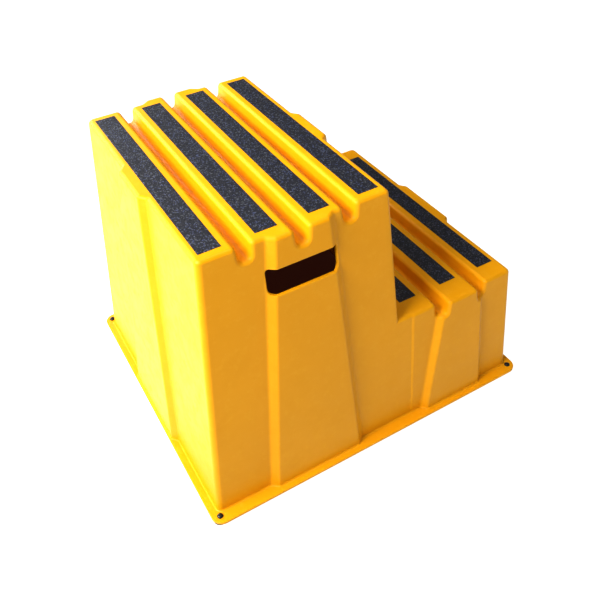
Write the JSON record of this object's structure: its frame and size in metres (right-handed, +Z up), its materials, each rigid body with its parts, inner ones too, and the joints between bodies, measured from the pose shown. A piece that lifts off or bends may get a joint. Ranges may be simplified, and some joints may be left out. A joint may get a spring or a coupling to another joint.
{
  "type": "mounting block",
  "caption": "Stable-yard mounting block: hollow moulded step block with an upper and a lower tread, grip strips, drainage grooves, hand slots and rubber feet.",
  "frame": {"origin": "on the floor under the centre of the base", "axes": "+Z up; X runs along the treads; -Y is the side with the lower tread, where a rider steps on; +Y is the tall back"},
  "size_m": [0.598, 0.67, 0.5048],
  "materials": {
    "shell_plastic": "satin moulded polyethylene, warm yellow, fine grain, lightly scuffed on the edges",
    "grit_strip": "coarse mineral grit bonded to self-adhesive tape, charcoal with pale speckle",
    "foot_rubber": "moulded black rubber, semi-matt"
  },
  "bodies": {
    "root": {"block_shell": "shell_plastic", "upper_grip_strip_1": "grit_strip", "upper_grip_strip_2": "grit_strip", "upper_grip_strip_3": "grit_strip", "upper_grip_strip_4": "grit_strip", "lower_grip_strip_1": "grit_strip", "lower_grip_strip_2": "grit_strip", "lower_grip_strip_3": "grit_strip", "foot_front_left": "foot_rubber", "foot_front_right": "foot_rubber", "foot_back_left": "foot_rubber", "foot_back_right": "foot_rubber"}
  },
  "joints": []
}
